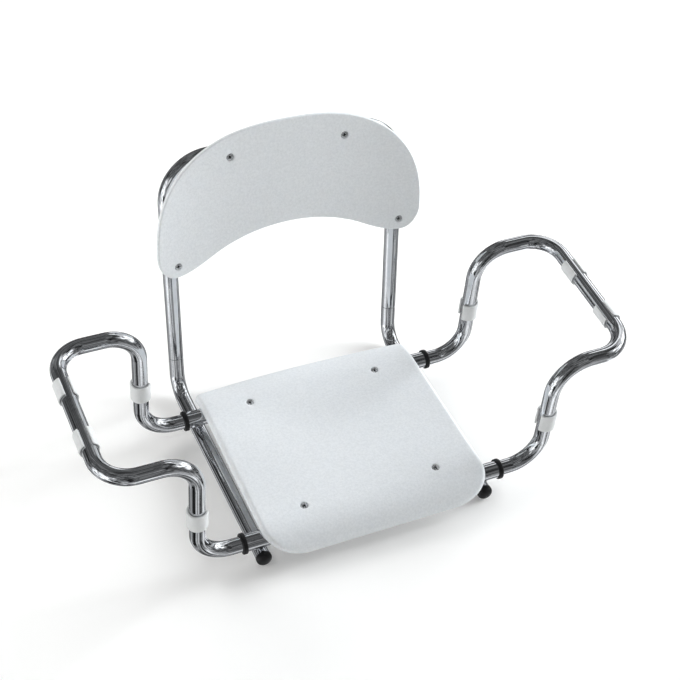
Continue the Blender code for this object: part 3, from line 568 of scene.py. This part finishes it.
def board_shape(x, s, depth):
    bow = BOARD_REAR_BOW * (1 - (x / 162.0) ** 2) * min(1.0, max(0.0, s / BOARD_FLAT_REAR))
    if s < BOARD_FLAT_FRONT:
        out, down, angle = along_arcs(BOARD_FRONT_ARCS, BOARD_FLAT_FRONT - s)
        return x, BOARD_FLAT_FRONT - out + depth * math.sin(angle), BOARD_TOP - down - depth * math.cos(angle)
    if s > BOARD_FLAT_REAR:
        out, down, angle = along_arcs(BOARD_REAR_ARCS, s - BOARD_FLAT_REAR)
        return x, BOARD_FLAT_REAR + bow + out - depth * math.sin(angle), BOARD_TOP - down - depth * math.cos(angle)
    return x, s + bow, BOARD_TOP - depth


a, rf, rr = BOARD_HALF, BOARD_CORNER_FRONT, BOARD_CORNER_REAR
outline = (
    arc(a - rr, BOARD_S_REAR - rr, rr, 0, math.pi / 2, 14)
    + arc(-a + rr, BOARD_S_REAR - rr, rr, math.pi / 2, math.pi, 14)
    + arc(-a + rf, BOARD_S_FRONT + rf, rf, math.pi, 3 * math.pi / 2, 32)
    + arc(a - rf, BOARD_S_FRONT + rf, rf, -math.pi / 2, 0, 32)
)
cuts = [((0, BOARD_FLAT_FRONT - 67.0 * k / 28, 0), (0, 1, 0)) for k in range(28)]
cuts += [((0, BOARD_FLAT_REAR + s, 0), (0, 1, 0)) for s in [45 * k / 9 for k in range(10)] + [46, 47, 48, 49, 50, 51, 52]]
cuts += [((0, s, 0), (0, 1, 0)) for s in range(-95, 106, 15)]
cuts += [((x, 0, 0), (1, 0, 0)) for x in range(-160, 161, 10)]
board = moulded("seat_board_moulding", outline, BOARD_T, BOARD_RIM, 1.5, cuts, board_shape, Matrix.Translation(world(0, 0, 0)))
for y in (CROSS_Y, -CROSS_Y):
    cut(board, cylinder("saddle", world(-200, y, CROSS_Z), world(200, y, CROSS_Z), CROSS_R + GAP, 64))
for x0, x1 in zip(POCKET_X[::2], POCKET_X[1::2]):
    for y0, y1 in zip(POCKET_Y[::2], POCKET_Y[1::2]):
        corner = 3.0
        pocket = []
        for cx, cy, start in ((x1 - corner, y1 - corner, 0), (x0 + corner, y1 - corner, 1), (x0 + corner, y0 + corner, 2), (x1 - corner, y0 + corner, 3)):
            pocket += arc(cx, cy, corner, math.pi / 2 * start, math.pi / 2 * (start + 1), 6)
        cut(board, prism("pocket", pocket, BOARD_UNDER - 5, BOARD_UNDER + POCKET_DEPTH, Matrix.Translation(world(0, 0, 0))))


def countersink(matrix, depth):
    """A countersunk hole's cutter, its mouth at the matrix's origin."""
    mouth = SCREW_HEAD_R + GAP
    profile = [(0, 4.0), (mouth + 0.4, 4.0), (mouth + 0.4, 0.03), (mouth + 0.12, -0.12), (mouth, -0.4), (mouth, -1.3),
               (SCREW_R + 0.4, -4.1), (SCREW_R + 0.4, -depth), (0, -depth)]
    return turned("countersink", profile, 40, matrix)


def countersunk_screw(name, length, matrix):
    """A countersunk screw with a slightly domed head and a cross recess that narrows towards its floor. Its point
    attribute marks the deep part of the recess, where the material paints shade."""
    profile = [(0, -0.25)] + [(r, -0.25 - 0.75 * (r / 5.6) ** 2.2) for r in (1.2, 2.2, 3.1, 3.9, 4.6, 5.1)]
    profile += [(SCREW_HEAD_R - 0.15, -1.12), (SCREW_HEAD_R, -1.3), (SCREW_HEAD_R - 0.03, -1.38)]
    profile += [(SCREW_R, -3.9), (SCREW_R, -length + 0.6), (SCREW_R - 0.6, -length), (0, -length)]
    made = turned(name, profile, 40, matrix)
    bm = bmesh.new()
    rows = []
    for depth, reach, half in ((1.0, 3.2, 0.70), (-0.3, 3.05, 0.66), (-3.0, 1.6, 0.40)):
        row = []
        for k in range(4):
            turn = math.pi / 2 * k
            for px, py in ((reach, -half), (reach, half), (half * 1.9, half * 1.9)):
                row.append(bm.verts.new(Vector((px * math.cos(turn) - py * math.sin(turn), px * math.sin(turn) + py * math.cos(turn), depth)) * SCALE))
        rows.append(row)
    for low, high in zip(rows, rows[1:]):
        for k in range(12):
            bm.faces.new((low[k], low[(k + 1) % 12], high[(k + 1) % 12], high[k]))
    bm.faces.new(rows[0])
    bm.faces.new(rows[-1])
    bmesh.ops.recalc_face_normals(bm, faces=bm.faces)
    mesh = bpy.data.meshes.new("cross")
    bm.to_mesh(mesh)
    bm.free()
    cut(made, new_object("cross", mesh, matrix))
    # Marks the recess deeper than 0.75 mm, which the screw material paints near black as shade.
    deep = made.data.attributes.new("recess", "FLOAT", "POINT")
    for vertex in made.data.vertices:
        across = math.hypot(vertex.co.x, vertex.co.y) / SCALE
        if across < 3.4 and vertex.co.z / SCALE < -0.75:
            deep.data[vertex.index].value = 1.0
    return made


SEAT_SCREW_TURNS = {(-1, 1): 20, (1, 1): 65, (-1, -1): 40, (1, -1): 5}  # degrees, as a hand leaves them
for side, side_name in (LEFT, RIGHT):
    for end, end_name in (REAR, FRONT):
        m = Matrix.Translation(world(side * SEAT_SCREW_X, end * SEAT_SCREW_Y, BOARD_TOP))
        cut(board, countersink(m, 15))
        turned_m = m @ Matrix.Rotation(math.radians(SEAT_SCREW_TURNS[side, end]), 4, "Z")
        name = f"{side_name}_{end_name}_seat_screw"
        finished(countersunk_screw(name + "_turned", 20.5, turned_m), name, "seat_frame", SCREW, 30)
finished(board, "seat_board", "seat_frame", SEAT_WHITE, 40)


# ------------------------------------------------------------------ side arms and pads
def pad(name, matrix, turn, radius, length):
    """A C-shaped snap-on pad, its opening towards the matrix's X, turned by an angle."""
    lip = (radius - PAD_BORE) / 2
    middle = (radius + PAD_BORE) / 2
    reach = lip / middle
    outline = arc(0, 0, radius, PAD_OPEN + reach * 0.75, 2 * math.pi - PAD_OPEN - reach * 0.75, 44)
    for sign, backwards in ((-1, False), (1, True)):
        at = sign * (PAD_OPEN + reach * 0.75)
        cx, cy = middle * math.cos(at), middle * math.sin(at)
        nose = []
        for k in range(1, 7):
            t = math.pi * k / 7
            outwards, along = math.cos(t) * lip, math.sin(t) * lip * 0.9
            nose.append(
                (
                    cx + outwards * math.cos(at) + along * math.sin(at) * sign,
                    cy + outwards * math.sin(at) - along * math.cos(at) * sign,
                )
            )
        if backwards:
            outline += arc(0, 0, PAD_BORE, 2 * math.pi - PAD_OPEN - reach * 0.75, PAD_OPEN + reach * 0.75, 40)
            nose.reverse()
        outline += nose
    return prism(name, outline, -length / 2, length / 2, matrix @ Matrix.Rotation(turn, 4, "Z"), 0.7, 3)


for side, side_name in (LEFT, RIGHT):
    body = f"{side_name}_arm"
    leg, rail, front_z = side * ARM_LEG_X, side * ARM_RAIL_X, ARM_FRONT_Z[side]
    corners = [
        world(side * ARM_END_X, CROSS_Y, CROSS_Z),
        world(leg, CROSS_Y, CROSS_Z),
        world(leg, CROSS_Y, ARM_TOP_Z),
        world(side * ARM_RAIL_REAR_X, CROSS_Y, ARM_TOP_Z),
        world(rail, -CROSS_Y, front_z),
        world(leg, -CROSS_Y, front_z),
        world(leg, -CROSS_Y, CROSS_Z),
        world(side * ARM_END_X, -CROSS_Y, CROSS_Z),
    ]
    radii = [ARM_BEND_LOW, ARM_BEND_TOP, ARM_BEND_RAIL, *ARM_FRONT_BENDS[side], ARM_BEND_LOW]
    arm = tube(f"{side_name}_arm_tube_plated", route(corners, radii), TUBE_R, TUBE_BORE - 0.2)
    vent = world(side * VENT_X, -CROSS_Y, front_z)
    down = Vector((0, -0.5, -0.8))
    holes = [cylinder("vent", vent + down * 0.016, vent + down * 0.008, VENT_R, 20)]
    for end, end_name in (REAR, FRONT):
        x, y = side * LOCK_X, end * CROSS_Y
        holes.append(cylinder("lock_hole", world(x, y, CROSS_Z - 16), world(x, y, CROSS_Z - 3), 5.0, 24))
    finished(cut(arm, *holes), f"{side_name}_arm_tube", body, CHROME)

    inwards, up = Vector((-side, 0, 0)), Vector((0, 0, 1))
    for end, end_name, z in ((1, "rear", REAR_PAD_Z), (-1, "front", FRONT_PAD_Z)):
        m = axes(inwards, up.cross(inwards), up, world(leg, end * CROSS_Y, z))
        name = f"{side_name}_{end_name}_leg_pad"
        finished(pad(name + "_clip", m, -side * LEG_PAD_TURN, LEG_PAD_R, LEG_PAD_LENGTH), name, body, PAD_WHITE, 40)
    along = (corners[3] - corners[4]).normalized()
    for (y, degrees), end_name in zip(RAIL_PADS[side], ("rear", "front")):
        at = corners[4] + along * ((y + CROSS_Y) / along.y * SCALE)
        rise = (up - along * up.dot(along)).normalized()
        m = axes(rise, along.cross(rise), along, at)
        name = f"{side_name}_{end_name}_rail_pad"
        finished(pad(name + "_clip", m, side * math.radians(degrees), PAD_R, PAD_LENGTH), name, body, PAD_WHITE, 40)


# ------------------------------------------------------------------ back tube and backrest panel
corners = [on_back(-LOWER_X, SEAM_V, 0), on_back(-LOWER_X, BACK_TOP_V, 0), on_back(LOWER_X, BACK_TOP_V, 0), on_back(LOWER_X, SEAM_V, 0)]
back = tube("back_tube_plated", route(corners, [BACK_BEND, BACK_BEND]), TUBE_R, TUBE_BORE)


def panel_face(u):
    return PANEL_N + PANEL_CURL * abs(u) ** 3


def panel_shape(u, v, depth):
    slope = math.atan(3 * PANEL_CURL * u * abs(u))
    return u + depth * math.sin(slope), v, panel_face(u) - depth * math.cos(slope)


def panel_outline():
    """Right half from the top middle clockwise to the lower middle, then mirrored."""
    half = []
    height = PANEL_TOP_V - PANEL_MID_V
    for k in range(65):
        t = math.pi / 2 * k / 64
        half.append((PANEL_HALF * math.sin(t) ** (2 / PANEL_POWER), PANEL_MID_V + height * math.cos(t) ** (2 / PANEL_POWER)))
    lobe_u, lobe_v = PANEL_LOBE
    centre_v = PANEL_HOLLOW_V - PANEL_HOLLOW_R
    join_v = centre_v + math.sqrt(PANEL_HOLLOW_R**2 - PANEL_JOIN_U**2)
    for k in range(1, 22):
        t = math.pi / 2 * k / 21
        half.append((lobe_u + (PANEL_HALF - lobe_u) * math.cos(t), PANEL_MID_V - (PANEL_MID_V - lobe_v) * math.sin(t)))
    slope = -PANEL_JOIN_U / math.sqrt(PANEL_HOLLOW_R**2 - PANEL_JOIN_U**2)
    reach = lobe_u - PANEL_JOIN_U
    for k in range(1, 10):
        t = k / 10
        h00, h01, h11 = 2 * t**3 - 3 * t**2 + 1, -2 * t**3 + 3 * t**2, t**3 - t**2
        half.append((lobe_u - reach * t, h00 * lobe_v + h01 * join_v + h11 * (-reach) * slope))
    for k in range(31):
        u = PANEL_JOIN_U * (1 - k / 30)
        half.append((u, centre_v + math.sqrt(PANEL_HOLLOW_R**2 - u**2)))
    spaced = [half[0]]
    for p in half[1:]:  # drops points too close for the rounded rim
        if math.dist(p, spaced[-1]) > 1.2 or p[0] == 0:
            spaced.append(p)
    return spaced + [(-u, v) for u, v in reversed(spaced[1:-1])]


back_matrix = axes(Vector((1, 0, 0)), BACK_D, BACK_N, on_back(0, 0, 0))
cuts = [((u, 0, 0), (1, 0, 0)) for u in range(-195, 196, 5)]
cuts += [((0, v, 0), (0, 1, 0)) for v in range(180, 390, 14)]
panel = moulded("backrest_panel_moulding", panel_outline(), PANEL_T, 2.0, 1.2, cuts, panel_shape, back_matrix)


def screw_axis(u_tube, v, tilt, side):
    """The matrix of a back screw: it passes through the tube's axis at u_tube and meets the panel's front face."""
    direction = Vector((-side * math.sin(tilt), 0, math.cos(tilt)))
    reach = panel_face(u_tube)
    for _ in range(20):
        reach = panel_face(u_tube - math.sin(tilt) * reach) / math.cos(tilt)
    z = (back_matrix.to_3x3() @ direction).normalized()
    x = BACK_D.cross(z).normalized()
    return axes(x, z.cross(x), z, on_back(side * u_tube - side * math.sin(tilt) * reach, v, reach * math.cos(tilt))), reach


BACK_SCREW_TURNS = {(-1, "upper"): 30, (1, "upper"): 80, (-1, "lower"): 10, (1, "lower"): 55}
for side, side_name in (LEFT, RIGHT):
    for (u, v, tilt), level in ((UPPER_SCREW, "upper"), (LOWER_SCREW, "lower")):
        m, reach = screw_axis(u, v, tilt, side)
        z = m.to_3x3() @ Vector((0, 0, 1))
        boss = cylinder("boss", m.translation - z * (reach - 7.5) * SCALE, m.translation - z * 3.0 * SCALE, 9.0, 40)
        cut(panel, boss, operation="UNION")
        if level == "lower":
            a0, a1 = on_back(side * LOWER_X, v - 40, 0), on_back(side * LOWER_X, v + 40, 0)
        else:
            a0, a1 = on_back(side * (u - 20), BACK_TOP_V, 0), on_back(side * (u + 15), BACK_TOP_V, 0)
        cut(panel, cylinder("saddle", a0, a1, TUBE_R + GAP, 64))
        cut(panel, countersink(m, 40))
        cut(back, cylinder("hole", m.translation - z * (reach + 16) * SCALE, m.translation - z * (reach - 16) * SCALE, SCREW_R + GAP, 24))
        name = f"{side_name}_{level}_back_screw"
        turned_m = m @ Matrix.Rotation(math.radians(BACK_SCREW_TURNS[side, level]), 4, "Z")
        finished(countersunk_screw(name + "_turned", reach + TUBE_R + 4.5, turned_m), name, "backrest", SCREW, 30)
        # A cap nut: a hexagon with chamfered corners and a dome over the screw's end.
        base = reach + TUBE_R + GAP
        flip = m @ Matrix.Translation((0, 0, -base * SCALE)) @ Matrix.Rotation(math.pi, 4, "X")
        nut = cylinder(name + "_nut", m.translation - z * base * SCALE, m.translation - z * (base + 5.5) * SCALE, NUT_R, 6)
        chamfer = [(0, -1), (NUT_R * 1.2, -1), (NUT_R * 1.2, 3.0), (NUT_R, 4.4), (NUT_R * 0.8, 5.5), (0, 5.5)]
        cut(nut, turned("chamfer", chamfer, 40, flip), operation="INTERSECT")
        dome = [(0, 4.0), (3.9, 4.0)] + [(3.9 * math.cos(t), 5.5 + 3.9 * math.sin(t)) for t in [math.pi / 2 * k / 12 for k in range(12)]] + [(0, 9.4)]
        cut(nut, turned("dome", dome, 40, flip), operation="UNION")
        cut(nut, cylinder("bore", m.translation - z * (base - 3) * SCALE, m.translation - z * (base + 5.2) * SCALE, SCREW_R + GAP, 24))
        nut_name = f"{side_name}_{level}_cap_nut"
        nut.name = nut_name + "_turned"
        finished(nut, nut_name, "backrest", SCREW, 30)
finished(panel, "backrest_panel", "backrest", SEAT_WHITE, 35)
finished(back, "back_tube", "backrest", CHROME)


# ------------------------------------------------------------------ pieces that keep their CAD shape
LOOKS = {"weld": CHROME, "seat_lug": LUG, "seat_nut": SCREW, "lock_screw": SCREW, "lock_insert": LUG}
for node, made in frame["nodes"].items():
    for ending, look in LOOKS.items():
        if node.endswith(ending):
            made.data.materials.clear()
            made.data.materials.append(look)
            weld = made.modifiers.new("weld", "WELD")
            weld.merge_threshold = 1e-6
            edge = made.modifiers.new("edges", "BEVEL")
            edge.width = 0.00025
            edge.segments = 2
            edge.limit_method = "ANGLE"
            edge.angle_limit = math.radians(35)

# ------------------------------------------------------------------ studio
# A floor that curves up into a low wall all round.
bm = bmesh.new()
profile = [(0.0, 0.0), (1.2, 0.0), (3.0, 0.0)]
profile += [(3.0 + 1.2 * math.sin(t), 1.2 - 1.2 * math.cos(t)) for t in [math.pi / 2 * k / 12 for k in range(1, 13)]]
profile += [(4.2, 2.0)]
rows = []
for r, h in profile:
    rows.append([bm.verts.new((0, 0, h - 0.0004))] if r == 0 else
                [bm.verts.new((r * math.cos(math.tau * k / 96), r * math.sin(math.tau * k / 96), h - 0.0004)) for k in range(96)])
for low, high in zip(rows, rows[1:]):
    for k in range(96):
        j = (k + 1) % 96
        bm.faces.new([low[0], high[k], high[j]] if len(low) == 1 else [low[k], high[k], high[j], low[j]])
mesh = bpy.data.meshes.new("studio_floor")
bm.to_mesh(mesh)
bm.free()
mesh.shade_smooth()
floor = new_object("studio_floor", mesh)
paper, tree, shader = new_material("studio_paper")
shader.inputs["Base Color"].default_value = (0.89, 0.883, 0.868, 1)
shader.inputs["Roughness"].default_value = 0.9
shader.inputs["Specular IOR Level"].default_value = 0.1
shader.inputs["Emission Color"].default_value = (1, 1, 1, 1)
# The sheet glows a little near the seat, as if lit from under, so that its shadows stay faint.
centre = add(tree, "ShaderNodeTexCoord")
away = add(tree, "ShaderNodeVectorMath", operation="LENGTH")
tree.links.new(centre.outputs["Object"], away.inputs[0])
tree.links.new(ranged(tree, away.outputs["Value"], 0.15, 0.05, 0.6, 3.2), shader.inputs["Emission Strength"])
mesh.materials.append(paper)


def area_light(name, place, target, size, power, colour=(1, 1, 1), size_y=None):
    light = bpy.data.lights.new(name, "AREA")
    light.shape = "RECTANGLE"
    light.size = size
    light.size_y = size_y or size
    light.energy = power
    light.color = colour
    made = bpy.data.objects.new(name, light)
    bpy.context.scene.collection.objects.link(made)
    made.location = place
    made.rotation_mode = "QUATERNION"
    made.rotation_quaternion = (Vector(target) - Vector(place)).to_track_quat("-Z", "Y")
    return made


# Soft lights for the plastics. The chrome doesn't mirror them or the floor, but the surroundings below.
LIGHTS = (
    ("right_window", (2.8, 0.3, 1.3), (0, 0, 0.2), 1.6, 1.8, 114.0, (0.94, 0.972, 1.0)),
    ("right_front_window", (3.3, -0.65, 1.0), (0, 0, 0.2), 1.0, 1.0, 28.0, (0.97, 0.985, 1.0)),
    ("rear_panel", (-0.3, 2.8, 2.0), (0, 0, 0.2), 1.6, 1.0, 14.0, (0.97, 0.985, 1.0)),
    ("top_left_panel", (-1.0, -0.4, 1.4), (0, 0, 0.1), 0.7, 0.7, 1.8, (1.0, 1.0, 1.0)),
    ("left_panel", (-3.2, 0.5, 1.0), (-0.2, 0, 0.06), 1.0, 1.0, 24.0, (1.0, 1.0, 1.0)),
    ("top_rear_panel", (-1.0, 0.9, 1.3), (0, 0, 0.1), 0.7, 0.7, 8.0, (1.0, 1.0, 1.0)),
)
for name, place, target, size, size_y, power, colour in LIGHTS:
    area_light(name, place, target, size, power, colour, size_y).visible_glossy = False
floor.visible_glossy = False

sky = bpy.data.worlds.new("studio_air")
bpy.context.scene.world = sky
sky.use_nodes = True
tree = sky.node_tree
background = tree.nodes["Background"]


def maths(operation, *values, clamp=False):
    """A Math node of these inputs, which are sockets or numbers."""
    node = tree.nodes.new("ShaderNodeMath")
    node.operation = operation
    node.use_clamp = clamp
    for socket, value in zip(node.inputs, values):
        if isinstance(value, (int, float)):
            socket.default_value = value
        else:
            tree.links.new(value, socket)
    return node.outputs[0]


def band(source, middle, half, soft, turn=False):
    """1 within half of the middle, falling smoothly to 0 across the soft edge. turn: the source is an azimuth."""
    away = maths("SUBTRACT", source, middle)
    if turn:
        away = maths("WRAP", away, 180.0, -180.0)
    node = add(tree, "ShaderNodeMapRange", interpolation_type="SMOOTHSTEP")
    tree.links.new(maths("ABSOLUTE", away), node.inputs["Value"])
    node.inputs["From Min"].default_value = half - soft / 2
    node.inputs["From Max"].default_value = half + soft / 2
    node.inputs["To Min"].default_value = 1.0
    node.inputs["To Max"].default_value = 0.0
    return node.outputs["Result"]


place = add(tree, "ShaderNodeTexCoord")
split = add(tree, "ShaderNodeSeparateXYZ")
tree.links.new(place.outputs["Generated"], split.inputs["Vector"])
rise = maths("MULTIPLY", maths("ARCSINE", split.outputs["Z"]), 180 / math.pi)
heading = maths("MULTIPLY", maths("ARCTAN2", split.outputs["X"], split.outputs["Y"]), 180 / math.pi)

# Brightness by elevation in degrees: a dim room above, and a pale floor below, darker under the seat.
LEVELS = ((-90, 0.34), (-70, 0.28), (-58, 0.40), (-50, 0.46), (-43, 0.56), (-36, 0.50), (-26, 0.34), (-13, 0.20), (0, 0.13), (14, 0.11), (90, 0.11))
ramp = add(tree, "ShaderNodeValToRGB")
while len(ramp.color_ramp.elements) < len(LEVELS):
    ramp.color_ramp.elements.new(0.5)
for k, (at, level) in enumerate(LEVELS):
    ramp.color_ramp.elements[k].position = (at + 90) / 180
for k, (at, level) in enumerate(LEVELS):
    ramp.color_ramp.elements[k].color = (level, level, level, 1)
tree.links.new(maths("DIVIDE", maths("ADD", rise, 90.0), 180.0), ramp.inputs["Fac"])
total = maths("MULTIPLY", ramp.outputs["Color"], 1.0)
# Windows and panels: azimuth (0 behind the seat, 90 on the right), half width, edge; elevation, half height, edge; level.
PATCHES = (
    (78, 45, 12, 26, 22, 10, 0.82),
    (86, 17, 10, 20, 12, 8, 0.65),
    (-105, 29, 10, -8, 27, 10, 0.62),
    (-112, 10, 8, -5, 11, 8, 0.55),
    (-30, 27, 12, 9, 10, 8, 0.06),
    (38, 21, 10, 9, 10, 8, 0.80),
    (60, 42, 18, -58, 9, 8, 0.80),
    (-68, 62, 20, -44, 9, 8, -0.24),
    (163, 20, 14, -44, 10, 8, 0.34),
)
for azimuth, wide, edge, elevation, high, rim, level in PATCHES:
    shape = maths("MULTIPLY", band(heading, azimuth, wide, edge, True), band(rise, elevation, high, rim))
    total = maths("ADD", total, maths("MULTIPLY", shape, level))
for scale, detail, low, high in ((2.4, 3.0, 0.04, 1.96), (8.0, 4.0, 0.35, 1.65)):
    unevenness = add(tree, "ShaderNodeTexNoise", Scale=scale, Detail=detail, Roughness=0.6, Distortion=0.4)
    tree.links.new(place.outputs["Generated"], unevenness.inputs["Vector"])
    total = maths("MULTIPLY", total, ranged(tree, unevenness.outputs["Fac"], low, high, 0.35, 0.65))
tree.links.new(total, background.inputs["Strength"])
background.inputs["Color"].default_value = (0.965, 0.985, 1.0, 1)

# ------------------------------------------------------------------ camera
EYE = world(-634.652, -1214.928, 1465.150)
AZIMUTH, ELEVATION, ROLL = (math.radians(x) for x in (-26.9978, 42.9817, -5.1943))
right = Vector((math.cos(AZIMUTH), math.sin(AZIMUTH), 0))
behind = Vector((math.sin(AZIMUTH) * math.cos(ELEVATION), -math.cos(AZIMUTH) * math.cos(ELEVATION), math.sin(ELEVATION)))
upwards = behind.cross(right)
rolled_right = right * math.cos(ROLL) - upwards * math.sin(ROLL)
rolled_up = right * math.sin(ROLL) + upwards * math.cos(ROLL)
lens = bpy.data.cameras.new("camera")
lens.lens = 73.125
lens.sensor_width = 36.0
camera = bpy.data.objects.new("camera", lens)
bpy.context.scene.collection.objects.link(camera)
camera.matrix_world = axes(rolled_right, rolled_up, behind, EYE)
bpy.context.scene.camera = camera
bpy.context.scene.view_settings.view_transform = "Standard"
